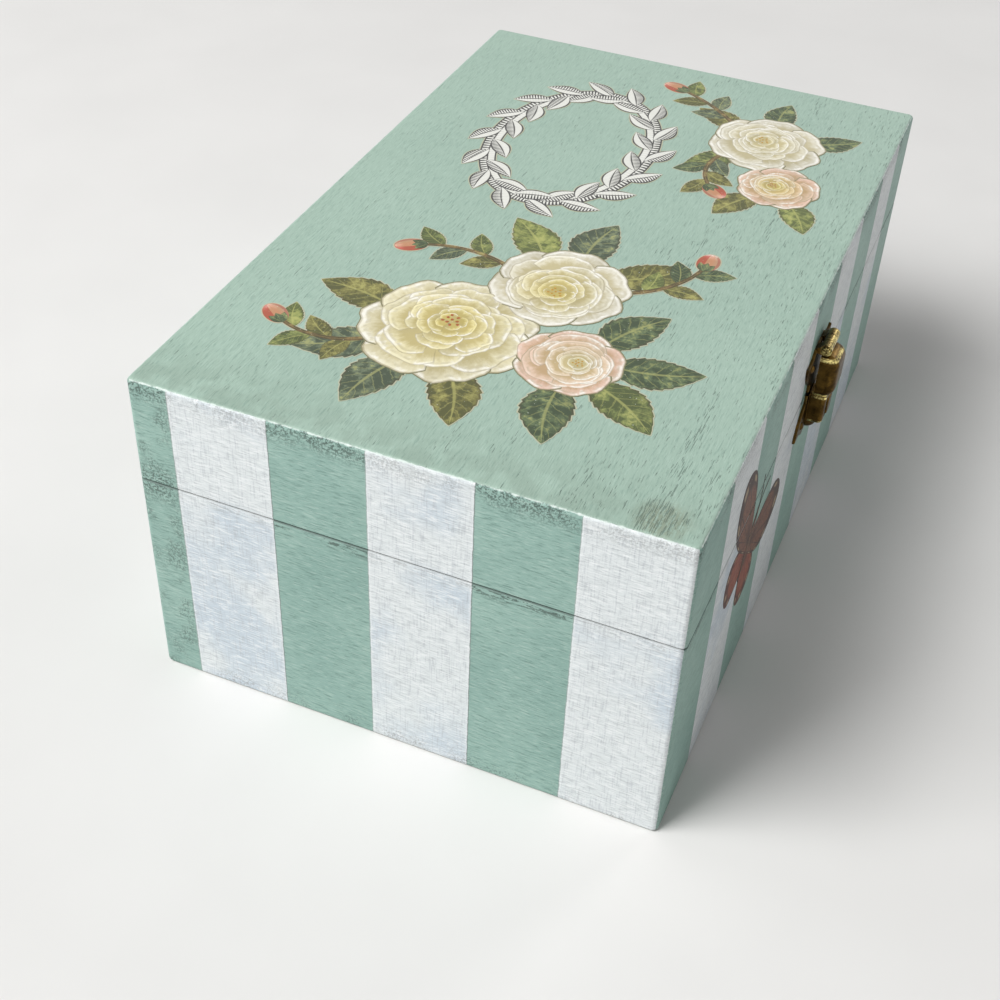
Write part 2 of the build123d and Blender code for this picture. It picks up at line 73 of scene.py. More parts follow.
# %% [markdown]
# ## Camera and light
#
# The camera stands where the photographer's did: over the left end of the box, a little to the
# front, looking down at about forty degrees. Its place was worked out from the corners of the
# box. A camera's axes follow from three numbers: the compass direction that it looks from, its
# height above the horizon, and a small roll.

# %% Camera
camera_place = Vector((-0.3447, -0.1162, 0.3038))
camera_azimuth = math.radians(-68.645)
camera_elevation = math.radians(40.258)
camera_roll = math.radians(2.549)
focal_share = 1.52535  # focal length over the picture's width


def camera_axes(azimuth, elevation, roll):
    """The camera's right, up and backward directions.

    Backward points from the box to the camera. Right starts level, and the roll turns right
    and up about backward.
    """
    back = Vector((
        math.sin(azimuth) * math.cos(elevation),
        -math.cos(azimuth) * math.cos(elevation),
        math.sin(elevation),
    ))
    right = Vector((0, 0, 1)).cross(back).normalized()
    up = back.cross(right)
    return (
        right * math.cos(roll) + up * math.sin(roll),
        up * math.cos(roll) - right * math.sin(roll),
        back,
    )


def in_scene(name, data):
    """A new object in the scene that holds the data."""
    made = bpy.data.objects.new(name, data)
    bpy.context.scene.collection.objects.link(made)
    return made


camera_data = bpy.data.cameras.new("camera")
camera_data.sensor_width = 36.0
camera_data.lens = camera_data.sensor_width * focal_share
camera_data.clip_start = 0.01
camera = in_scene("camera", camera_data)
turn = Matrix(camera_axes(camera_azimuth, camera_elevation, camera_roll)).transposed()
camera.matrix_world = Matrix.Translation(camera_place) @ turn.to_4x4()
bpy.context.scene.camera = camera
print(f"camera lens {camera_data.lens:.1f} mm")

# %% [markdown]
# The box stands by a window: the light comes from behind its left end, and the front is in
# shade. One large soft lamp gives that direction. A small weak one at the right keeps the
# front readable and gives the brass its glints.

# %% Lamps


def soft_lamp(name, place, target, size, power):
    """A square lamp at a place, turned to a target."""
    data = bpy.data.lights.new(name, "AREA")
    data.size = size
    data.energy = power
    lamp = in_scene(name, data)
    lamp.location = place
    lamp.rotation_euler = (Vector(target) - Vector(place)).to_track_quat("-Z", "Y").to_euler()
    return lamp


lamp_target = (0, 0, 0.05)
window_lamp = soft_lamp("window", (-1.1, 1.0, 1.9), lamp_target, size=1.3, power=64.0)
room_lamp = soft_lamp("room", (0.95, -0.5, 0.75), lamp_target, size=0.3, power=2.0)
bpy.context.scene.view_settings.view_transform = "Standard"
print(f"window lamp {window_lamp.data.energy:g} W, room lamp {room_lamp.data.energy:g} W")

# %% [markdown]
# ## Surfaces from grids
#
# Everything that we add is a surface worked out on a grid: rows and columns of points, with a
# four-sided face between neighbours. The floor is the plainest one, so it tries the helper.

# %% A surface from a grid of points, and the floor


def mesh_object(name, points, faces):
    """A mesh object with those points, in metres, and faces."""
    mesh = bpy.data.meshes.new(name)
    mesh.from_pydata(np.asarray(points).reshape(-1, 3).tolist(), [], np.asarray(faces).tolist())
    return in_scene(name, mesh)


def grid_faces(rows, columns):
    """Face (i, j) joins points (i, j), (i, j + 1), (i + 1, j + 1) and (i + 1, j)."""
    index = np.arange(rows * columns).reshape(rows, columns)
    corners = [index[:-1, :-1], index[:-1, 1:], index[1:, 1:], index[1:, :-1]]
    return np.stack(corners, axis=-1).reshape(-1, 4)


def uv_grid(rows, columns, left=-1.0):
    """v, from 0 to 1 down the rows, and u, from left to 1 across the columns."""
    return np.meshgrid(np.linspace(0, 1, rows), np.linspace(left, 1, columns), indexing="ij")


floor_reach = 3.0
lines = 5
across, along = np.meshgrid(*[np.linspace(-floor_reach, floor_reach, lines)] * 2)
floor = mesh_object("floor", np.dstack([across, along, 0 * along]), grid_faces(lines, lines))
print("floor:", len(floor.data.polygons), "faces")

# %% [markdown]
# ## Shaders as expressions
#
# A paint is a recipe of masks: where the stripes are, how near an edge is, where the brush
# left a streak. Wired by hand, such a recipe is hard to read, so one small class wraps a socket
# and overloads the usual operators. `1 - mask` or `edge * noise` then adds its Math nodes, and
# every other node comes from the one method `node`.

# %% A socket with arithmetic


class Wire:
    """An output socket, with operators that add Math nodes."""

    def __init__(self, recipe, socket):
        self.recipe = recipe
        self.socket = socket

    def maths(self, operation, *values):
        """A Math node on the values, in their order."""
        return self.recipe.node("Math", {"operation": operation}, dict(enumerate(values)))

    def __add__(self, other):
        return self.maths("ADD", self, other)

    __radd__ = __add__

    def __sub__(self, other):
        return self.maths("SUBTRACT", self, other)

    def __rsub__(self, other):
        return self.maths("SUBTRACT", other, self)

    def __mul__(self, other):
        return self.maths("MULTIPLY", self, other)

    __rmul__ = __mul__

    def __lt__(self, other):
        return self.maths("LESS_THAN", self, other)

    def __abs__(self):
        return self.maths("ABSOLUTE", self)

    def low(self, other):
        """The smaller of the two values."""
        return self.maths("MINIMUM", self, other)

    def high(self, other):
        """The larger of the two values."""
        return self.maths("MAXIMUM", self, other)

    def wave(self):
        """The sine of the value."""
        return self.maths("SINE", self)

    def step(self, start, end):
        """Rises smoothly from 0 at start to 1 at end, or falls where end is below start."""
        return self.recipe.node(
            "MapRange", {"interpolation_type": "SMOOTHSTEP"}, {0: self, 1: start, 2: end}
        )


# %% A recipe of nodes


class Recipe:
    """The node tree of a material or a world, built from expressions."""

    def __init__(self, owner):
        owner.use_nodes = True
        self.owner = owner
        self.tree = owner.node_tree
        self.tree.nodes.clear()

    def node(self, kind, settings, inputs, output=0):
        """A node of that kind: its settings, then the values or wires of its sockets."""
        made = self.tree.nodes.new("ShaderNode" + kind)
        for name, value in settings.items():
            setattr(made, name, value)
        for key, value in inputs.items():
            if isinstance(value, Wire):
                self.tree.links.new(value.socket, made.inputs[key])
            else:
                made.inputs[key].default_value = value
        return None if output is None else Wire(self, made.outputs[output])

    def place(self):
        """Object coordinates in millimetres."""
        return self.stretch(self.node("TexCoord", {}, {}, "Object"), 1 / MM, 1 / MM, 1 / MM)

    def stretch(self, vector, x, y, z):
        """The vector with its parts multiplied."""
        return self.node("VectorMath", {"operation": "MULTIPLY"}, {0: vector, 1: (x, y, z)})

    def parts(self, vector):
        """The vector's X, Y and Z."""
        split = self.node("SeparateXYZ", {}, {0: vector}).socket.node
        return [Wire(self, part) for part in split.outputs]

    def noise(self, vector, scale=1.0, detail=3.0, roughness=0.5):
        """Soft noise, mostly from 0.25 to 0.75, whose mean is a half."""
        sockets = {"Vector": vector, "Scale": scale, "Detail": detail, "Roughness": roughness}
        return self.node("TexNoise", {}, sockets)

    def mix(self, share, first, second):
        """The first colour where share is 0 and the second where it is 1."""
        return self.node("Mix", {"data_type": "RGBA"}, {0: share, 6: first, 7: second}, 2)

    def layers(self, colour, *layers):
        """The colour with others laid over it in turn. Each layer is a share and a colour."""
        for share, layer in layers:
            colour = self.mix(share, colour, layer)
        return colour

    def mix_vectors(self, share, first, second):
        """The first vector where share is 0 and the second where it is 1."""
        return self.node("Mix", {"data_type": "VECTOR"}, {0: share, 4: first, 5: second}, 1)

    def bump(self, relief, depth):
        """A normal from a relief from 0 to 1, whose full height is depth millimetres."""
        return self.node("Bump", {}, {"Height": relief, "Distance": depth * MM, "Strength": 1.0})

    def glossy(self, **sockets):
        """Ends a material with a Principled shader. base_color stands for Base Color."""
        named = {name.replace("_", " ").title(): value for name, value in sockets.items()}
        shader = self.node("BsdfPrincipled", {}, named)
        self.node("OutputMaterial", {}, {"Surface": shader}, None)
        print("finish:", self.owner.name, "with", len(self.tree.nodes), "nodes")
        return self.owner


def srgb(red, green, blue):
    """A colour given as screen values from 0 to 255, in the linear light that shaders use."""
    shares = np.array([red, green, blue]) / 255
    linear = np.where(shares <= 0.04045, shares / 12.92, ((shares + 0.055) / 1.055) ** 2.4)
    return (*linear.tolist(), 1.0)


print("mid grey, 128 on a screen, is", round(srgb(128, 128, 128)[0], 3), "in linear light")

# %% [markdown]
# The world is a pale studio. It lights the box with a moderate strength, but the camera and
# shiny metal see it brighter, which Light Path tells apart. The floor is a matt pale board.

# %% World and floor
studio = bpy.data.worlds.new("studio")
bpy.context.scene.world = studio
sky = Recipe(studio)
light_strength = 0.18
seen_strength = 0.9
rays = sky.node("LightPath", {}, {}, "Is Camera Ray").socket.node
seen = Wire(sky, rays.outputs["Is Camera Ray"]).high(Wire(sky, rays.outputs["Is Glossy Ray"]))
seen = seen.high(Wire(sky, rays.outputs["Is Transmission Ray"]))
strength = light_strength + seen * (seen_strength - light_strength)
pure_white = (1.0, 1.0, 1.0, 1.0)
backdrop = sky.node("Background", {}, {"Color": pure_white, "Strength": strength})
sky.node("OutputWorld", {}, {"Surface": backdrop}, None)

card = Recipe(bpy.data.materials.new("pale_card"))
mottle = card.noise(card.place(), 0.02, 2.0)
card_colour = card.mix(mottle, srgb(222, 221, 219), srgb(230, 229, 227))
floor.data.materials.append(card.glossy(base_color=card_colour, roughness=0.9))

# %% [markdown]
# ## Painted wood
#
# The box was brushed with a soft green chalk paint, and the white stripes were painted over
# it between strips of tape. It is easiest to paint the whole box by position: a point's depth
# under each outer plane says which face it is on, how near an edge it is, and whether it is
# outside, where there is paint, or inside or underneath, where the wood is bare. One recipe
# then serves every board, and the stripes run over the seam from lid to base without a break.

# %% Where a point lies on the box


def lie_of(recipe):
    """Position in mm, and the depth under the end, long side and flat planes of the box."""
    place = recipe.place()
    x, y, z = recipe.parts(place)
    end_depth = half_length - abs(x)
    side_depth = half_depth - abs(y)
    flat_depth = (height - z).low(z)
    return place, (x, y, z), (end_depth, side_depth, flat_depth)


# %% [markdown]
# Stripes are about 25 mm wide, and were measured on the two faces that the photograph shows.
# The two hidden faces repeat them. Tape leaves an edge that is straight but not perfect, so
# the coordinate is shaken a little before it is compared.

# %% Stripes
tape_blur, rim_blur = 0.22, 1.0
end_whites = ((-80.0, -43.8), (-18.9, 7.7), (32.7, 59.0))
side_whites = ((-86.0, -60.0), (-35.0, -10.0), (15.0, 41.0), (66.0, 89.5))


def stripes(coordinate, whites, blur):
    """1 in the white bands and 0 between them: the sum of a rise times a fall for each."""
    return sum(
        coordinate.step(start - blur, start + blur) * coordinate.step(end + blur, end - blur)
        for start, end in whites
    )


widths = [round(end - start, 1) for start, end in side_whites]
print("white stripes along the box:", widths, "mm wide")

# %% [markdown]
# Wood grain is noise that is squeezed across the board and stretched along it. The end boards
# run from front to back and all others along the box, so the two stretched positions are mixed
# before the noise reads them. Under paint only short dashes of it show.

# %% Grain


def grain(recipe, place, on_end, stretch, squeeze, detail=3.0, roughness=0.5):
    """Noise that is stretched along each board and squeezed across it.

    Noise is built on a grid of cubes. If they stood square to the boards, their sides would
    show as faint lines across the grain, so the position is turned by an odd angle first.
    """
    stretched = recipe.mix_vectors(
        on_end,
        recipe.stretch(place, stretch, squeeze, squeeze),
        recipe.stretch(place, squeeze, stretch, squeeze),
    )
    turn = {"Vector": stretched, "Axis": (0.6, 0.48, 0.64), "Angle": 0.7}
    turned = recipe.node("VectorRotate", {"rotation_type": "AXIS_ANGLE"}, turn)
    return recipe.noise(turned, 1.0, detail, roughness)


lime_wood, wood_lines = (srgb(205, 172, 126), srgb(222, 193, 150)), srgb(165, 126, 82)
mitre_line, underside_grime = srgb(112, 80, 48), srgb(138, 116, 90)


def bare_wood(recipe, place, on_end):
    """Pale lime wood: broad soft bands with fine darker lines along the board."""
    bands = grain(recipe, place, on_end, 0.012, 0.12)
    lines = grain(recipe, place, on_end, 0.04, 1.3, 4.0, 0.6)
    tone = recipe.mix(bands.step(0.3, 0.7), *lime_wood)
    return recipe.mix(lines.step(0.5, 0.8) * 0.7, tone, wood_lines)


# %% [markdown]
# The green is brushed along the boards. The white was brushed up and down over it, which gives
# its woven look, and is cooler where it is thin, mostly on the base. Both get painted highlights
# and painted shade on their raised grain. Where the two meet, the tape left a small ridge of
# paint: a fine dark line, partly darker paint and partly its painted shadow, with a painted
# highlight along the white's edge.

# %% Two coats of paint
green_paint = srgb(138, 173, 163), srgb(154, 187, 176)
# The lid's top is painted warmer and lighter: partly the varnish's tint, partly painted light from
# above.
varnish_and_top_light_green = srgb(163, 184, 168)
# Grain dashes: the dark ones are grain with painted shade, the light ones painted highlights.
green_grain_and_shade, green_highlight = srgb(96, 128, 119), srgb(192, 214, 203)
white_paint = srgb(226, 232, 233), srgb(204, 216, 225)
# On the white too, dark grain dashes carry painted shade, and the brightest white is a painted
# highlight.
white_strokes, white_grain_and_shade = srgb(182, 188, 194), srgb(164, 170, 174)
white_highlight = srgb(246, 249, 250)
# The tape line is partly darker paint and partly the painted shadow of the paint's ridge.
tape_line_and_shade = srgb(96, 114, 108)


def two_coats(recipe, white, rim, on_flat, dashes, strokes, cloud, thin):
    """The colour of clean paint: green, warmer and lighter on the lid from varnish and painted
    light, and white stripes, with painted highlights and shade on the grain.

    thin is over a half where the white coat is so thin that the green cools it.
    """
    calm = 1 - on_flat * 0.45
    green = recipe.layers(
        recipe.mix(cloud.step(0.3, 0.7), *green_paint),
        # warmer and lighter top: varnish tint and painted light from above
        (on_flat * 0.7, varnish_and_top_light_green),
        # dark grain dashes with painted shade, then painted highlights on the raised grain
        (dashes.step(0.52, 0.68) * calm * 0.6, green_grain_and_shade),
        (dashes.step(0.47, 0.34) * calm * 0.36, green_highlight),
    )
    chalk = recipe.layers(
        recipe.mix(thin.step(0.5, 0.7), *white_paint),
        (strokes.step(0.5, 0.66) * 0.45, white_strokes),
        # the same painted shade and painted highlights on the white's grain
        (dashes.step(0.52, 0.66) * 0.4, white_grain_and_shade),
        (dashes.step(0.48, 0.36) * 0.7, white_highlight),
        # a painted highlight along the white's edge, on the ridge of paint
        (rim * 0.8, white_highlight),
    )
    # a fine dark line at the tape edge: darker paint and the ridge's painted shadow
    ridge = white * (1 - white) * 4
    return recipe.layers(green, (white, chalk), (ridge * 0.6, tape_line_and_shade))


# %% [markdown]
# Then comes the wear. Each mark is a place times a noise: dark speckles in a band under the
# top edge, cracked dashes just below the seam, and scuffs on the strip at the back corner. The
# lid has open pores that grow denser to the front, old wax in one corner and smudges at the end.
# A darker line along the seam between lid and base is painted shade in that gap, with grime.

# %% Marks of wear
# Each reach is in millimetres, from where a mark is gone to where it is at its full strength.
edge_reach, foot_reach, seam_reach = (7.5, 1.5), (9.0, 0.0), (4.5, 1.0)
groove_reach, scuff_reach, wax_reach = (0.55, 0.25), (9.0, 1.0), (8.5, 2.5)
scuffed_strip = (57.0, 61.0)
smudged_length = 24.0
densest_pores = -68.0
wax_spot = (-105.5, -59.5)


def marks(recipe, place, xyz, on_flat, on_end, white):
    """How strong each mark is: grime with painted seam shade, pores, brown wax and smudges."""
    x, y, z = xyz
    below_top = height - z
    below_seam = seam - z
    upright = 1 - on_flat
    speck = recipe.noise(place, 1.7, 3.0, 0.7)
    patch = recipe.noise(place, 0.07, 2.0)
    spread = recipe.noise(place, 0.16, 2.0)
    cracks = grain(recipe, place, on_end, 0.22, 1.5, 3.0, 0.6)
    under_edge = below_top.step(*edge_reach) * speck.step(0.47, 0.56) * patch.step(0.36, 0.5)
    under_edge *= 1 - white * 0.5
    near_floor = z.step(*foot_reach) * speck.step(0.5, 0.6) * spread.step(0.42, 0.62) * 0.7
    chips = cracks * 0.7 + speck * 0.3
    at_seam = below_seam.step(0.2, 0.5) * below_seam.step(*seam_reach) * chips.step(0.5, 0.55)
    at_seam = at_seam * spread.step(0.42, 0.5) * (1 - white * 0.6)
    # a darker line along the seam between lid and base: painted shade in the gap, with grime
    groove = abs(z - seam).step(*groove_reach) * (1 - white * 0.4)
    crumbs = (speck * 0.8 + cracks * 0.2).step(0.47, 0.56)
    scuffs = y.step(*scuffed_strip) * on_end * crumbs * (
        abs(z - seam).step(*scuff_reach).high(spread.step(0.42, 0.62) * 0.7)
    )
    dirt_and_seam_shade = under_edge.high(near_floor).high(at_seam).high(scuffs).high(groove) * upright

    ends = {0: recipe.stretch(place, 1, 1, 0), 1: (*wax_spot, 0.0)}
    reach = recipe.node("VectorMath", {"operation": "DISTANCE"}, ends, "Value")
    near_wax = reach.step(*wax_reach) * on_flat
    wax = near_wax * (cracks * 0.6 + speck * 0.4).step(0.38, 0.54)
    pore_noise = grain(recipe, place, on_end, 0.26, 3.3, 2.0)
    streaky = grain(recipe, place, on_end, 0.03, 0.25, 2.0)
    density = y.step(0.0, densest_pores) * 0.06 + streaky * 0.36 + near_wax * 0.16
    pores = (pore_noise + density).step(0.87, 0.97) * on_flat
    smudge = x.step(smudged_length - half_length, -half_length) * spread.step(0.32, 0.6)
    smudge = smudge * on_flat * (speck * 0.7 + 0.4)
    return dirt_and_seam_shade, pores, wax, smudge


# %% The painted wood
# Grime colours, which also paint the shade in the seam.
grime_and_shade_on_green, grime_and_shade_on_white = srgb(66, 84, 77), srgb(132, 134, 132)
brown_wax, grey_smudge, open_pore = srgb(120, 114, 80), srgb(112, 130, 116), srgb(84, 104, 94)
# Rounded edges: paint worn pale, and a painted highlight where the edge catches light.
worn_edge_and_highlight = srgb(230, 241, 236)
paint_lap = (1.9, 1.0)
line_reach = (0.2, 0.08)
relief_depth = 0.24


def painted_wood(name):
    """Green and white chalk paint outside the box, bare mitred wood inside and under it."""
    recipe = Recipe(bpy.data.materials.new(name))
    place, (x, y, z), (end_depth, side_depth, flat_depth) = lie_of(recipe)
    shake = recipe.noise(place, 0.5, 3.0, 0.65) - 0.5
    on_end = end_depth < side_depth.low(flat_depth + shake * 1.5)
    on_side = side_depth < end_depth.low(flat_depth + shake * 1.5)
    on_flat = 1 - on_end.high(on_side)
    shallow = end_depth.low(side_depth).low(height - z)
    edge = end_depth.low(side_depth).high(end_depth.high(side_depth).low(flat_depth))

    jitter = shake * 0.4 + (recipe.noise(place, 1.6, 2.0) - 0.5) * 0.25
    white, soft = (
        stripes(y + jitter, end_whites, blur) * on_end
        + stripes(x + jitter, side_whites, blur) * on_side
        for blur in (tape_blur, rim_blur)
    )
    # a band inside each white's edge, where a painted highlight goes
    rim = white * (1 - soft) * 1.6
    dashes = grain(recipe, place, on_end, 0.32, 2.7, 3.0, 0.6)
    strokes = recipe.noise(recipe.stretch(place, 2.1, 2.1, 0.17), 1.0, 3.0, 0.6)
    cloud = recipe.noise(place, 0.03, 3.0)
    thin = cloud + (seam - z).step(-6.0, 6.0) * 0.15 - 0.07
    dirt_and_seam_shade, pores, wax, smudge = marks(recipe, place, (x, y, z), on_flat, on_end, white)
    # the rubbed edges: worn paint with a painted highlight
    worn = (edge + shake * 0.9).step(0.56, 0.24)
    paint = recipe.layers(
        two_coats(recipe, white, rim, on_flat, dashes, strokes, cloud, thin),
        # grime, and the painted shade along the seam
        (dirt_and_seam_shade * 0.8, recipe.mix(white, grime_and_shade_on_green, grime_and_shade_on_white)),
        (wax * 0.45, brown_wax),
        (smudge * 0.4, grey_smudge),
        (pores * 0.6, open_pore),
        (worn * 0.75, worn_edge_and_highlight),
    )

    lap = (shallow + shake).step(*paint_lap)
    in_board = end_depth.low(side_depth).step(board_thickness + 0.2, board_thickness + 0.1)
    in_board *= z.step(bottom_thickness - 0.2, bottom_thickness - 0.1)
    mitre = abs(end_depth - side_depth).step(*line_reach) * in_board
    underneath = z.step(0.6, 0.2) * (cloud * 0.9 + shake)
    colour = recipe.layers(
        bare_wood(recipe, place, on_end),
        (mitre * 0.7, mitre_line),
        (underneath, underside_grime),
        (lap, paint),
    )
    painted = (strokes * 0.35 + 0.3) * white - pores * 0.35 - dirt_and_seam_shade * 0.2
    relief = dashes * (0.6 - on_flat * 0.2) + painted * lap
    return recipe.glossy(
        base_color=colour,
        roughness=0.62 - dashes * 0.2,
        normal=recipe.bump(relief, relief_depth),
    )


paint = painted_wood("chalk_paint")
for name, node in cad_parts.items():
    if name.endswith(("_board", "_panel")):
        node.data.materials[0] = paint

# %% [markdown]
# ## Brass and steel
#
# The hasp and hinges are stamped brass that has darkened with age. Hands rub it bright again
# where they touch it most: on the knuckles, under the dome and along the foot of the arm. So the
# finish is a dark skin, rubbed through in patches, with bright lines at those heights, partly
# rubbed metal and partly painted glints. The screws of the hinges are a lighter brass, and the
# brads under the box are steel with some rust.

# %% Metals
knuckle_rise = (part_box("hasp_pin")[0].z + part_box("hasp_pin")[1].z) / 2 / MM - seam
# Bright lines, partly rubbed metal and partly painted glints, at these heights over the seam.
hasp_ridges = ((knuckle_rise, 1.9), (11.3, 0.6), (0.2, 0.6), (-0.9, 0.5), (-8.9, 0.6))
hinge_ridges = ((0.0, 1.6),)
dent_depth = 0.05


def old_metal(name, dark, worn, polish_and_glint_colour, ridges=()):
    """Metal with a dark skin that is worn in patches, with bright lines along its ridges that
    are partly rubbed metal and partly painted glints.

    Each ridge is a height over the seam and half its width, and counts only where the metal
    stands proud of the wood.
    """
    recipe = Recipe(bpy.data.materials.new(name))
    place = recipe.place()
    _, y, z = recipe.parts(place)
    proud = (abs(y) - half_depth).step(1.2, 3.0)
    patina = recipe.noise(place, 0.4, 4.0, 0.6)
    fine = recipe.noise(place, 1.8, 3.0, 0.6)
    # bright lines along the ridges: rubbed metal and painted glints
    polish_and_glint = sum(abs(z - seam - rise).step(reach, reach * 0.4) for rise, reach in ridges)
    polish_and_glint = polish_and_glint * proud * (patina * 0.5 + fine * 0.5).step(0.4, 0.6)
    rubbed = (patina * 0.75 + fine * 0.25).step(0.26, 0.84)
    return recipe.glossy(
        base_color=recipe.layers(dark, (rubbed, worn), (polish_and_glint, polish_and_glint_colour)),
        metallic=1.0,
        roughness=0.34 + (fine - patina) * 0.2 - polish_and_glint * 0.2,
        normal=recipe.bump(fine * 0.5 + patina * 0.5, dent_depth),
    )


# Dark skin, rubbed patches, and the colour of the bright lines with their painted glints.
brass_tones = srgb(44, 32, 15), srgb(116, 90, 42), srgb(255, 236, 156)
screw_tones = srgb(120, 96, 50), srgb(190, 160, 96), srgb(190, 160, 96)
steel_tones = srgb(110, 90, 74), srgb(152, 149, 144), srgb(152, 149, 144)
hasp_brass = old_metal("hasp_brass", *brass_tones, hasp_ridges)
hinge_brass = old_metal("hinge_brass", *brass_tones, hinge_ridges)
screw_brass = old_metal("screw_brass", *screw_tones)
steel = old_metal("steel", *steel_tones)
for name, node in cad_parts.items():
    if name.endswith("screws"):
        node.data.materials[0] = screw_brass
    elif name.startswith("hasp"):
        node.data.materials[0] = hasp_brass
    elif name.startswith("hinge"):
        node.data.materials[0] = hinge_brass
    elif name.endswith("brads"):
        node.data.materials[0] = steel

# %% [markdown]
# ## Paper cut-outs
#
# The lid and the front carry flowers, a wreath and a butterfly, cut from printed paper and
# glued on under varnish. An image texture could carry such a print, but we draw it: each
# petal, leaf and wing is its own small surface, laid over its neighbours like scales, a few
# thousandths of a millimetre apart. A sheet then gathers them into one mesh, with a UV map
# that runs across and along each shape, and a tint for each, from which a material draws
# veins and shading.

# %% A sheet that gathers printed shapes
glue_gap = 0.055
paper_low = height + glue_gap
level_rise = 0.0065
paper_thickness = 0.05
paper_margin = 0.35
paper_edge = srgb(182, 184, 160)


def on_lid(local):
    """Local x, y and height in levels, to metres on top of the lid."""
    x, y, level = np.moveaxis(local, -1, 0)
    return np.stack([x, y, paper_low + level * level_rise], axis=-1) * MM


class Sheet:
    """Shapes of one paper: points in metres, faces, UV, tint and a number for each shape."""

    def __init__(self, lay=on_lid):
        self.lay = lay
        self.points, self.faces, self.uv, self.tint, self.seed = [], [], [], [], []
        self.count = self.shapes = 0

    def add(self, local, tint, printed=1.0):
        """Adds shapes: local is shapes by rows by columns by (x, y, level)."""
        shapes, rows, columns = local.shape[:3]
        offset = self.count + np.arange(shapes)[:, None, None] * rows * columns
        self.faces.append((grid_faces(rows, columns) + offset).reshape(-1, 4))
        self.points.append(self.lay(local).reshape(-1, 3))
        v, u = uv_grid(rows, columns, 0.0)
        self.uv.append(np.tile(np.stack([u, v], axis=-1).reshape(-1, 2), (shapes, 1)))
        colours = np.broadcast_to(np.asarray(tint, float)[..., :3], (shapes, 3))
        colours = np.column_stack([colours, np.full(shapes, printed)])
        self.tint.append(np.repeat(colours, rows * columns, axis=0))
        self.seed.append(np.repeat(self.shapes + np.arange(shapes), rows * columns))
        self.count += shapes * rows * columns
        self.shapes += shapes

    def make(self, name, finish, body, slot, node):
        """The mesh object: it rides on a body and stands for a node of the solid model."""
        made = mesh_object(name, np.concatenate(self.points), np.concatenate(self.faces))
        mesh = made.data
        corners = np.zeros(len(mesh.loops), int)
        mesh.loops.foreach_get("vertex_index", corners)
        uv = np.concatenate(self.uv)[corners]
        mesh.uv_layers.new(name="across_along").data.foreach_set("uv", uv.ravel())
        tint = mesh.attributes.new("tint", "FLOAT_COLOR", "POINT")
        tint.data.foreach_set("color", np.concatenate(self.tint).ravel())
        seed = mesh.attributes.new("seed", "FLOAT", "POINT")
        seed.data.foreach_set("value", np.concatenate(self.seed).astype(float))
        mesh.materials.append(finish)
        finish_piece(made, body, node)
        return made


def finish_piece(made, body, node):
    """Gives the surface the thickness of a layer of paper and hands it to its body."""
    layer = made.modifiers.new("layer", "SOLIDIFY")
    layer.thickness = paper_thickness * MM
    layer.offset = -1.0
    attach(made, body)
    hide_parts(node)
    print(made.name, "has", len(made.data.polygons), "faces")


# %% [markdown]
# Leaves and buds are both blades: a width that changes along a middle line. A leaf's width is
# a sine that leans to its root, and its middle line bows a little. A rose leaf has teeth as
# well, which point to its tip, so it needs many rows. Three columns are enough, because it is
# flat and straight across.

# %% Blades
rows_of_leaf, columns_of_leaf = 61, 3
rng = np.random.default_rng(7)


def laurel_width(v):
    """Half a sine with its widest place nearer the root."""
    return np.sin(np.pi * v**0.88) ** 0.9


def rose_leaf_width(v):
    """The same, with ten teeth on the edge that widen slowly and end at once."""
    return laurel_width(v) * (1 + 0.11 * (10 * v % 1))


def bud_width(v):
    """The width of an ellipse."""
    return np.sin(np.arccos(np.clip(1 - 2 * v, -1, 1)))


def blades(roots, headings, length, width, level, profile=rose_leaf_width, bow=0.06, margin=0.0):
    """Shapes that start at a root and run the way of a heading.

    The point (u, v) lies v times the length along the heading, and u times half the width
    times the profile of v to the right of it, from u = -1 to 1. bow bends the middle line by
    that share of the length, and a margin makes the blade larger all round.
    """
    roots, headings = np.atleast_2d(roots), np.radians(np.atleast_1d(headings))
    v, u = uv_grid(rows_of_leaf, columns_of_leaf)
    along = v * (length + 2 * margin) - margin
    bowed = bow * length * np.sin(np.pi * v) * np.resize([1, -1], len(headings))[:, None, None]
    aside = u * (width / 2 + margin) * profile(v) + bowed
    cos, sin = np.cos(headings)[:, None, None], np.sin(headings)[:, None, None]
    x = roots[:, 0, None, None] + along * cos + aside * sin
    y = roots[:, 1, None, None] + along * sin - aside * cos
    levels = np.broadcast_to(np.reshape(level, (-1, 1, 1)), x.shape) + 0 * u
    return np.stack([x, y, levels], axis=-1)


def cut_out(sheet, place, size, level, tint, profile=rose_leaf_width, bow=0.06, low=0.0):
    """Adds blades, and under them the same ones with a margin of bare paper.

    place is the roots and the headings, and low is the level of the bare paper.
    """
    sheet.add(blades(*place, *size, low, profile, bow, paper_margin), paper_edge, 0.0)
    sheet.add(blades(*place, *size, level, profile, bow), tint)


shares = np.linspace(0, 1, 101)
print("a leaf is widest at", shares[laurel_width(shares).argmax()], "of its length")

# %% [markdown]
# Twigs and wings need a smooth line through a few points. The usual choice is a natural cubic
# spline: a cubic between each two points, with bends that agree where two cubics meet. Finding
# the bends takes one small system of linear equations.

# %% A smooth line through points


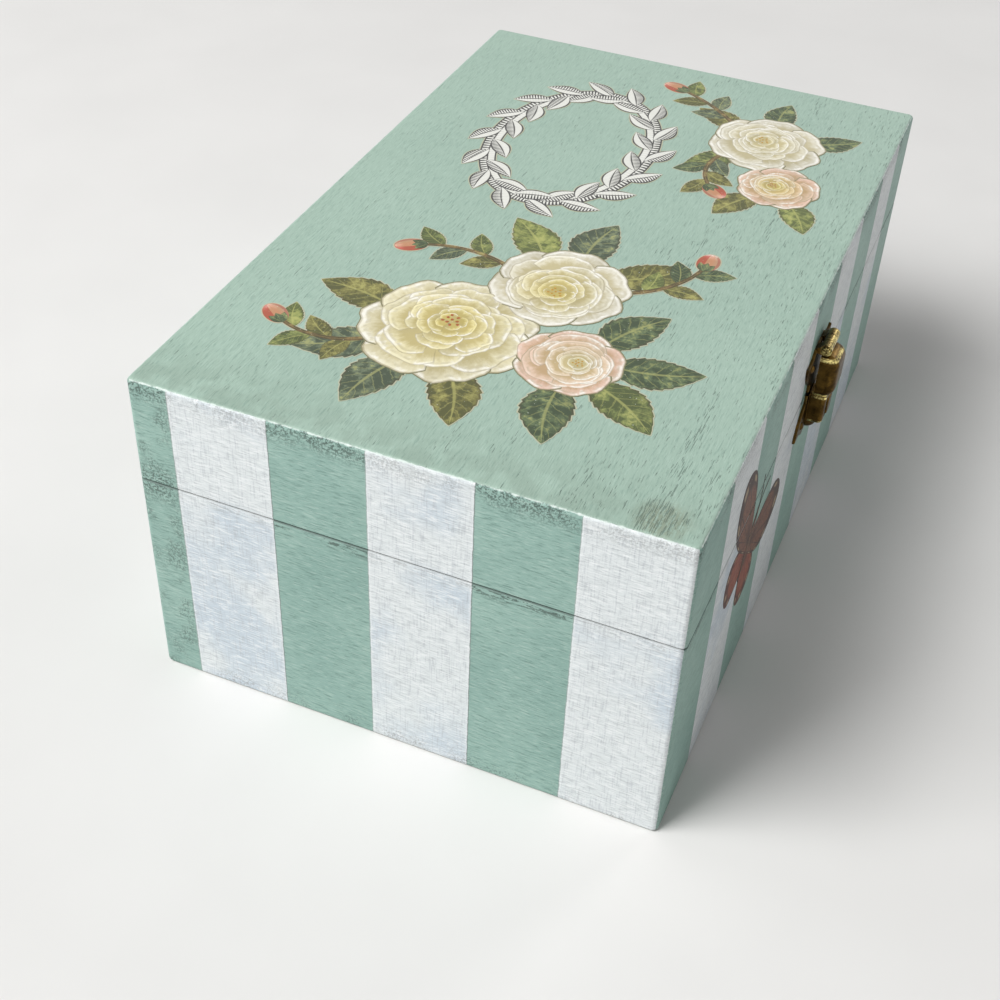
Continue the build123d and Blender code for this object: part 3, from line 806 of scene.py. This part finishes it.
def smooth_line(points, count):
    """That many points on the natural cubic spline through the given ones."""
    points = np.asarray(points, float)
    chords = np.linalg.norm(np.diff(points, axis=0), axis=1)
    knots = np.concatenate([[0], np.cumsum(chords)])
    system = np.eye(len(points))
    slopes = np.diff(points, axis=0) / chords[:, None]
    inner = np.arange(1, len(points) - 1)
    system[inner, inner - 1] = chords[:-1]
    system[inner, inner] = 2 * (chords[:-1] + chords[1:])
    system[inner, inner + 1] = chords[1:]
    right = np.zeros_like(points)
    right[inner] = 6 * np.diff(slopes, axis=0)
    bends = np.linalg.solve(system, right)
    s = np.linspace(0, knots[-1], count)
    k = np.clip(np.searchsorted(knots, s) - 1, 0, len(chords) - 1)
    before, after, chord = (s - knots[k])[:, None], (knots[k + 1] - s)[:, None], chords[k][:, None]
    return (
        (bends[k] * after**3 + bends[k + 1] * before**3) / (6 * chord)
        + (points[k] / chord - bends[k] * chord / 6) * after
        + (points[k + 1] / chord - bends[k + 1] * chord / 6) * before
    )


def ribbon(path, half_widths, level):
    """A strip along a path: (u, v) is the path's point at v, moved u half widths to its right."""
    ahead = np.gradient(path, axis=0)
    ahead /= np.linalg.norm(ahead, axis=1)[:, None]
    right = np.column_stack([ahead[:, 1], -ahead[:, 0]])
    u = np.linspace(-1, 1, 3)
    flat = path[:, None] + u[None, :, None] * (right * half_widths[:, None])[:, None]
    return np.dstack([flat, np.full(flat.shape[:2], float(level))])[None]


print("a smooth hill:", smooth_line([(0, 0), (1, 1), (2, 0)], 5).round(2).tolist())

# %% [markdown]
# A bloom is rings of petals, the outer ring first. A petal fills a slice of its ring, round at
# its corners, and each is tilted so that one side slips under its neighbour, as petals do. The
# rings grow smaller, turn by the golden angle and climb a level each.

# %% Petals and blooms
rows_of_petal, columns_of_petal = 13, 15
golden_angle = math.radians(137.5)
ring_shares = (1.0, 0.83, 0.67, 0.53, 0.40, 0.29, 0.19)
bloom_margin, bloom_outline = 0.3, srgb(128, 124, 92)
heart_dots = 9


def spokes(turns):
    """Arrows of length one at those angles, in radians."""
    return np.column_stack([np.cos(turns), np.sin(turns)])


def petals(centre, count, root, tip, turn, level, wild=0.0, margin=0.0):
    """A ring of petals about a centre.

    At (u, v) the angle is the petal's own less u times its half slice, narrower at the root,
    and the radius goes from root to tip, less a share that grows near the sides. Each petal's
    turn, width and reach differ at random by up to the share that wild gives.
    """
    v, u = uv_grid(rows_of_petal, columns_of_petal)
    turned, widened, reached = rng.uniform(-wild, wild, (3, count, 1, 1))
    own = turn + 2 * np.pi * (np.arange(count)[:, None, None] + turned) / count
    half_slice = 1.3 * np.pi / count * (1 + widened) * (0.62 + 0.38 * v**0.6)
    angle = own - u * (half_slice + margin / tip)
    ruffle = 0.018 * np.sin(5 * u + 7 * own) + 0.012 * np.sin(11 * u + 3 * own)
    rounding = 1 - 0.2 * np.abs(u) ** 2.8 - 0.03 * np.exp(-((u / 0.16) ** 2)) + ruffle
    radius = root + (tip * rounding * (1 + 0.4 * reached) - root + margin) * v
    x, y = centre[0] + radius * np.cos(angle), centre[1] + radius * np.sin(angle)
    return np.stack([x, y, level + 0.9 * (1 - u) / 2 + 0 * x], axis=-1)


def bloom(sheet, centre, radius, count, level, outer, inner, heart):
    """One bloom: rings whose tint goes from the outer colour to the inner, and a heart.

    Each ring's middle lies a little further to one side, because a rose leans.
    """
    reach = radius * (1 + 0.15 * math.sin(math.pi / count))
    rim = petals(centre, count, 0, reach, 0.0, level - 0.6, margin=bloom_margin)
    sheet.add(rim, bloom_outline, 0.0)
    lean = 0.2 * radius * np.array([math.cos(2.4 * radius), math.sin(2.4 * radius)])
    for ring, share in enumerate(ring_shares):
        in_ring = max(3, count - ring // 2)
        shade = ring / (len(ring_shares) - 1)
        tint = np.outer(1 - shade, outer[:3]) + np.outer(shade, inner[:3])
        tint = tint * rng.uniform(0.86, 1.04, (in_ring, 1))
        shapes = petals(
            np.add(centre, lean * (1 - share)),
            in_ring,
            0.12 * share * reach,
            share * reach,
            ring * golden_angle,
            level + ring,
            wild=0.3 if ring else 0.0,
        )
        sheet.add(shapes, np.clip(tint, 0, 1))
    turns = np.arange(heart_dots) * golden_angle
    spread = 0.1 * radius * np.sqrt(np.arange(heart_dots) / heart_dots)
    spots = np.add(centre, lean * 0.9) + spread[:, None] * spokes(turns)
    dot_size = 0.05 * radius, 0.04 * radius
    dots = blades(spots, np.degrees(turns), *dot_size, level + 7.4, bud_width, bow=0)
    sheet.add(dots, heart)


# %% [markdown]
# A print has its light and shade painted in, because the paper itself is flat. Petals are dark
# at the root and where a neighbour lies over them, light near the tip, and have fine streaks
# along them and a thin line round them. Leaves get a pale midrib with side veins that slant
# forward, mottled greens and a brown edge. Varnish gives both a soft gloss.

# %% Printed finishes
rubbed_fleck, petal_light = srgb(216, 220, 208), srgb(250, 248, 240)
petal_grey, petal_line = srgb(172, 166, 144), srgb(136, 122, 84)
leaf_light, leaf_line = srgb(204, 202, 126), srgb(74, 66, 44)
wrinkle_depth = 0.05


def paper_print(name):
    """A recipe with what a print reads: u and v, the tint and the seed."""
    recipe = Recipe(bpy.data.materials.new(name))
    u, v, _ = recipe.parts(recipe.node("TexCoord", {}, {}, "UV"))
    tint = recipe.node("Attribute", {"attribute_name": "tint"}, {}, "Color")
    seed = recipe.node("Attribute", {"attribute_name": "seed"}, {}, "Fac")
    return recipe, u, v, tint, seed


def varnished(recipe, tint, colour, relief):
    """Ends a print: paper under varnish, with faint wrinkles and small rubbed flecks.

    Where the tint's alpha is 0 nothing is printed, and the paper has the plain tint.
    """
    printed = Wire(recipe, tint.socket.node.outputs["Alpha"])
    place = recipe.place()
    wrinkles = recipe.noise(place, 0.35, 3.0, 0.6)
    flecks = recipe.noise(place, 1.5, 2.0, 0.5).step(0.68, 0.74) * wrinkles.step(0.42, 0.58)
    return recipe.glossy(
        base_color=recipe.layers(tint, (printed, colour), (flecks * 0.7, rubbed_fleck)),
        roughness=0.42 + wrinkles * 0.15,
        normal=recipe.bump(wrinkles * 0.7 + relief * 0.3, wrinkle_depth),
    )


def petal_print():
    """Petals with shaded roots and sides, light tips, streaks and an outline."""
    recipe, u, v, tint, seed = paper_print("petal_print")
    across = recipe.node("CombineXYZ", {}, {0: u * 9, 1: v * 1.4, 2: seed * 3.7})
    streaks = recipe.noise(across, 1.0, 5.0, 0.65)
    cloud = recipe.noise(recipe.place(), 0.22, 3.0)
    dabs = recipe.noise(recipe.place(), 0.8, 3.0, 0.6)
    dark = recipe.stretch(tint, 0.56, 0.5, 0.3)
    grey = recipe.mix(0.5, dark, petal_grey)
    depth = v + (streaks - 0.5) * 0.4 + (dabs - 0.5) * 0.2
    crease = v.step(0.84, 0.90) * v.step(0.94, 0.91) * streaks.step(0.42, 0.58)
    side = abs(u * 2 - 1)
    line = v.step(0.965, 0.99).high(side.step(0.95, 0.99) * v.step(0.5, 0.8))
    colour = recipe.layers(
        tint,
        (depth.step(0.98, 0.66) * 0.85, dark),
        (u.step(0.45, 1.0) * (0.4 + cloud * 0.6) * 0.8, grey),
        (depth.step(0.86, 0.98) * cloud.step(0.62, 0.4) * 0.8, petal_light),
        (crease * 0.5, grey),
        (line * (0.25 + cloud * 0.5), petal_line),
    )
    return varnished(recipe, tint, colour, streaks)


def leaf_print():
    """Leaves with a midrib, slanting veins, mottled greens and a brown edge."""
    recipe, u, v, tint, seed = paper_print("leaf_print")
    side = abs(u * 2 - 1)
    shifted = recipe.node("VectorMath", {"operation": "ADD"}, {0: recipe.place(), 1: seed * 5})
    mottle = recipe.noise(shifted, 0.32, 5.0, 0.65)
    veins = ((v * 8 - side * 1.6 + mottle * 0.8) * math.tau).wave()
    dark = recipe.stretch(tint, 0.36, 0.4, 0.38)
    light = recipe.mix(0.5, tint, leaf_light)
    colour = recipe.layers(
        dark,
        (mottle.step(0.44, 0.56), tint),
        (mottle.step(0.55, 0.66) * 0.8, light),
        ((u < 0.5) * 0.3, dark),
        (veins.step(0.85, 1.0) * side.step(1.0, 0.7) * 0.35, light),
        (side.step(0.09, 0.03) * 0.6, light),
        (side.step(0.86, 0.99) * 0.6, leaf_line),
    )
    return varnished(recipe, tint, colour, mottle)


petal_finish = petal_print()
leaf_finish = leaf_print()

# %% [markdown]
# The bouquets are set out on the lid: blooms at the middle, leaves that reach out from
# under them, and curved twigs with buds. The numbers are the same as the solid model's.

# %% Bouquets
leaf_greens = np.array([
    srgb(118, 128, 74), srgb(92, 108, 76), srgb(140, 148, 84), srgb(104, 116, 92),
    srgb(128, 124, 70),
])
twig_brown, bud_red, bud_pink = srgb(120, 96, 62), srgb(206, 112, 100), srgb(232, 176, 156)
leaf_root_share = 0.7
twig_half_width, twig_points = 0.9, 19
bud_size = (9.0, 6.0)
calyx_size = (4.4, 2.2)
twig_leaf_length, twig_leaf_lean = 11.0, 50
twig_leaf_shares = (0.34, 0.48, 0.62, 0.78)
twig_leaf_sides = (1, -1, 1, -1)


def ring_roots(middle, place, radius, angles):
    """Where the leaves round a bloom start, on a circle inside it."""
    return np.add(middle, place) + leaf_root_share * radius * spokes(np.radians(angles))


def add_leaves(sheet, roots, headings, length, level, climb=0.6):
    """Leaves in greens drawn at random, on three levels that take turns."""
    levels = level + climb * (np.arange(len(headings)) % 3)
    tints = leaf_greens[rng.integers(0, len(leaf_greens), len(headings))]
    cut_out(sheet, (roots, headings), (length, length / 2), levels, tints)


def arc_at(start, bend, end, shares):
    """Points and headings on the circle through three points, at shares of the way along.

    The centre is equally far from all three, which makes two linear equations, and the angle
    about it goes evenly from the start's to the end's.
    """
    three = np.array([start, bend, end], float)
    squares = (three**2).sum(axis=1)
    centre = np.linalg.solve(2 * (three[1:] - three[0]), squares[1:] - squares[0])
    arms = three - centre
    angles = np.unwrap(np.arctan2(arms[:, 1], arms[:, 0]))
    turns = angles[0] + np.asarray(shares) * (angles[2] - angles[0])
    ring = spokes(turns) * np.linalg.norm(arms[0])
    return centre + ring, np.degrees(turns) + 90 * np.sign(angles[2] - angles[0])


def add_twig(greenery, flowers, middle, twig):
    """A tapering twig with four small leaves and a bud that its calyx holds."""
    path, bearing = arc_at(*twig, np.linspace(0, 1, twig_points))
    path = middle + path
    taper = np.linspace(1.0, 0.6, len(path)) * twig_half_width
    greenery.add(ribbon(path, taper + 0.3, 0.5), paper_edge, 0.0)
    greenery.add(ribbon(path, taper, 3.9), twig_brown)
    forks, ways = arc_at(*twig, twig_leaf_shares)
    ways = ways + twig_leaf_lean * np.array(twig_leaf_sides)
    add_leaves(greenery, middle + forks, ways, twig_leaf_length, 3.0, 0.25)
    way = math.radians(bearing[-1])
    root = path[-1] - bud_size[0] / 2 * np.array([math.cos(way), math.sin(way)])
    tip = root, bearing[-1]
    cut_out(flowers, tip, bud_size, 4.2, bud_red, bud_width, bow=0, low=0.4)
    inner = blades(*tip, bud_size[0], bud_size[1] / 2, 5.2, bud_width, bow=0.08)
    flowers.add(inner, bud_pink)
    leans = np.array([-28.0, 0.0, 28.0])
    roots = np.tile(root, (len(leans), 1))
    calyx = blades(roots, bearing[-1] + leans, *calyx_size, 6 + leans / 90, bow=0)
    greenery.add(calyx, leaf_greens[1])


def bouquet(side, middle, leaf_length, blooms, twigs):
    """The leaves, twigs and blooms of one paper.

    Each bloom is place, radius, petals, leaf angles, outer, inner and heart colours, and each
    twig is a start, a bend and an end.
    """
    greenery, flowers = Sheet(), Sheet()
    for place, radius, _, angles, *_ in blooms:
        roots = ring_roots(middle, place, radius, angles)
        add_leaves(greenery, roots, np.array(angles, float), leaf_length, 1.2)
    for twig in twigs:
        add_twig(greenery, flowers, middle, twig)
    for number, (place, radius, count, _, *colours) in enumerate(blooms):
        level = 5.0 + 0.7 * number
        bloom(flowers, np.add(middle, place), radius, count, level, *colours)
    node = f"lid_paper_{side}_bouquet"
    greenery.make(f"{side}_bouquet_leaves", leaf_finish, "lid", "flower_paper", node)
    flowers.make(f"{side}_bouquet_blooms", petal_finish, "lid", "flower_paper", node)


cream, butter, white_petal = srgb(240, 234, 204), srgb(236, 224, 158), srgb(238, 235, 222)
blush, gold_heart, rust_heart = srgb(236, 204, 186), srgb(222, 176, 64), srgb(196, 112, 48)
bouquet(
    "left",
    (-52.0, 2.0),
    24.0,
    (
        ((-8.0, 9.0), 21.0, 7, (80, 125, 165, 205), cream, butter, rust_heart),
        ((22.0, -9.0), 17.0, 6, (40, -5, -50), white_petal, butter, gold_heart),
        ((-8.0, -23.0), 12.5, 5, (190, 235, 285, 330), blush, cream, gold_heart),
    ),
    (
        ((-14.0, 20.0), (-24.0, 34.0), (-20.0, 50.0)),
        ((18.0, -2.0), (28.0, 16.0), (24.0, 34.0)),
        ((24.0, -18.0), (34.0, -34.0), (50.0, -40.0)),
    ),
)
bouquet(
    "right",
    (70.0, -34.0),
    18.0,
    (
        ((0.0, 0.0), 16.0, 6, (-60, 0, 60, 140, 200), white_petal, cream, gold_heart),
        ((-24.0, -10.0), 11.0, 5, (150, 210), blush, butter, rust_heart),
    ),
    (
        ((2.0, 8.0), (14.0, 18.0), (25.0, 36.0)),
        ((-6.0, 6.0), (-22.0, 12.0), (-34.0, 6.0)),
    ),
)

# %% [markdown]
# The wreath is an engraving: black lines on white paper. A band runs round an oval, and small
# leaves lean along it, left and right by turns. The hatching is a fine sine along each shape,
# whose lines grow thicker on the shaded half.

# %% Wreath
wreath_middle = np.array([44.0, 18.0])
wreath_halves = np.array([38.0, 25.0])
wreath_band = 5.0
wreath_leaves = 32
wreath_leaf_size = (12.0, 5.6)
wreath_leaf_lean = 32.0
band_lines, leaf_lines = 160, 14
band_rows, band_columns = 145, 5
black_ink, wreath_paper = srgb(28, 27, 26), (srgb(222, 222, 214), srgb(236, 236, 230))


def engraving():
    """Black outlines and hatching on white paper.

    The red of a shape's tint is the number of its hatching lines, in hundreds.
    """
    recipe, u, v, tint, _ = paper_print("engraving")
    side = abs(u * 2 - 1)
    hatching = (v * (recipe.parts(tint)[0] * 100) * math.tau).wave()
    shade = u.step(0.35, 0.85)
    ink = (hatching + shade * 1.2 - 0.9).step(0.0, 0.25) * side.step(0.93, 0.85)
    ink = ink.high(side.step(0.78, 0.86)).high(side.step(0.11, 0.05))
    tone = recipe.noise(recipe.place(), 0.3, 3.0)
    colour = recipe.mix(ink * 0.95, recipe.mix(tone, *wreath_paper), black_ink)
    return varnished(recipe, tint, colour, tone)


def oval_band(inner, outer, level):
    """An oval ring: v runs round it and u from the outer to the inner edge."""
    turn = np.linspace(0, math.tau, band_rows)[:, None]
    share = np.linspace(0, 1, band_columns)[None, :]
    halves = wreath_halves - outer - (inner - outer) * share[..., None]
    x = wreath_middle[0] + halves[..., 0] * np.cos(turn)
    y = wreath_middle[1] + halves[..., 1] * np.sin(turn)
    return np.stack([x, y, np.full(x.shape, float(level))], axis=-1)[None]


wreath = Sheet()
band_edge = oval_band(wreath_band + paper_margin, -paper_margin, 0.3)
wreath.add(band_edge[:, :, ::-1], paper_edge, 0.0)
wreath.add(oval_band(wreath_band, 0.0, 2.0)[:, :, ::-1], (band_lines / 100, 0, 0))
turns = math.tau * np.arange(wreath_leaves) / wreath_leaves
middle_halves = wreath_halves - wreath_band / 2
spots = wreath_middle + middle_halves * spokes(turns)
ahead = wreath_halves * np.column_stack([-np.sin(turns), np.cos(turns)])
headings = np.degrees(np.arctan2(ahead[:, 1], ahead[:, 0]))
headings = headings + np.resize([-wreath_leaf_lean, wreath_leaf_lean], wreath_leaves)
climb = 4 + 0.9 * np.resize([0, 0, 1, 1, 2, 2, 3, 3], wreath_leaves)
tint = leaf_lines / 100, 0, 0
cut_out(wreath, (spots, headings), wreath_leaf_size, climb, tint, laurel_width, bow=0.04)
wreath.make("engraved_wreath", engraving(), "lid", "engraved_paper", "lid_paper_wreath")

# %% [markdown]
# The butterfly sits on the front, over the seam, so its paper was cut when the lid was first
# opened. Each wing spreads from its root to a smooth outline, and the whole is turned on the
# board. We build it once and cut a copy for the lid and one for the base.

# %% Butterfly
butterfly_middle = np.array([-54.0, seam - 14.0])
butterfly_turn = math.radians(-39.0)
seam_cut = 0.4
upper_wing = ((1, 3), (14, 14), (26.5, 17.5), (32, 14), (28.5, 4.5), (19, -1.5), (1, -3))
lower_wing = ((1, 0), (13, -2.5), (18.5, -7.5), (15.5, -14.5), (8, -17), (1, -10))
wing_brown, wing_rust = srgb(82, 42, 33), srgb(124, 50, 36)
wing_light, wing_spot = srgb(222, 160, 110), srgb(214, 190, 150)
body_brown, feeler_brown = srgb(66, 44, 34), srgb(60, 44, 36)
body_root, body_size = (0.0, -10.5), (21.0, 3.6)
wing_rows, wing_columns, feeler_points = 15, 41, 11


def on_front(local):
    """Local x, y and level, turned, to metres on the front board."""
    x, y, level = np.moveaxis(local, -1, 0)
    cos, sin = math.cos(butterfly_turn), math.sin(butterfly_turn)
    out = half_depth + glue_gap + level * level_rise
    along = butterfly_middle[0] + x * cos - y * sin
    up = butterfly_middle[1] + x * sin + y * cos
    return np.stack([along, -out, up], axis=-1) * MM


def wing(outline, side, level, root):
    """A wing: (u, v) lies v of the way from the root to the outline's point at u."""
    edge = smooth_line(outline, wing_columns) * [side, 1]
    root = np.array(root) * [side, 1]
    v = np.linspace(0, 1, wing_rows)[:, None, None]
    flat = root + v * (edge[None] - root)
    flat = flat if side > 0 else flat[:, ::-1]
    return np.dstack([flat, np.full(flat.shape[:2], float(level))])[None]


def wing_print():
    """Wings with dark veins from the root, a dark rim and pale spots along it."""
    recipe, u, v, tint, _ = paper_print("wing_print")
    veins = abs((u * 7 * math.pi).wave())
    scales = recipe.noise(recipe.place(), 0.9, 4.0, 0.7)
    dark = recipe.stretch(tint, 0.22, 0.2, 0.2)
    spots = veins.step(0.75, 0.95) * v.step(0.84, 0.88) * v.step(0.96, 0.92)
    colour = recipe.layers(
        tint,
        (scales.step(0.35, 0.7), recipe.mix(0.22, tint, wing_light)),
        (v.step(0.45, 0.0) * 0.8, dark),
        (veins.step(0.22, 0.08) * 0.85, dark),
        ((v + scales * 0.1).step(0.8, 0.9) * 0.9, dark),
        (spots * 0.5, wing_spot),
    )
    return varnished(recipe, tint, colour, scales)


def butterfly_sheet():
    """Both pairs of wings and the body, the upper wings over the lower."""
    sheet = Sheet(on_front)
    for side in (-1, 1):
        sheet.add(wing(lower_wing, side, level=1.0, root=(1.0, -3.0)), wing_rust)
        sheet.add(wing(upper_wing, side, level=4.0, root=(1.0, 0.0)), wing_brown)
        curve = (0.0, 9.0), (2.2 * side, 14.0), (5.4 * side, 17.5)
        feeler = smooth_line(curve, feeler_points)
        half_widths = np.linspace(0.2, 0.32, feeler_points)
        sheet.add(ribbon(feeler, half_widths, level=6.5), feeler_brown)
    sheet.add(blades(body_root, 90.0, *body_size, 8.0, bud_width, bow=0), body_brown)
    return sheet


def cut_at_seam(made, direction):
    """Keeps what lies above the seam for 1 or below it for -1."""
    work = bmesh.new()
    work.from_mesh(made.data)
    bmesh.ops.bisect_plane(
        work,
        geom=work.verts[:] + work.edges[:] + work.faces[:],
        plane_co=(0, 0, (seam + direction * seam_cut) * MM),
        plane_no=(0, 0, -direction),
        clear_outer=True,
    )
    work.to_mesh(made.data)
    work.free()


wing_finish = wing_print()
for body, direction, node in (
    ("lid", 1, "lid_paper_butterfly_top"),
    ("base", -1, "base_paper_butterfly_bottom"),
):
    name = f"butterfly_on_{body}"
    half = butterfly_sheet().make(name, wing_finish, body, "butterfly_paper", node)
    cut_at_seam(half, direction)
    print(half.name, "keeps", len(half.data.polygons), "faces")
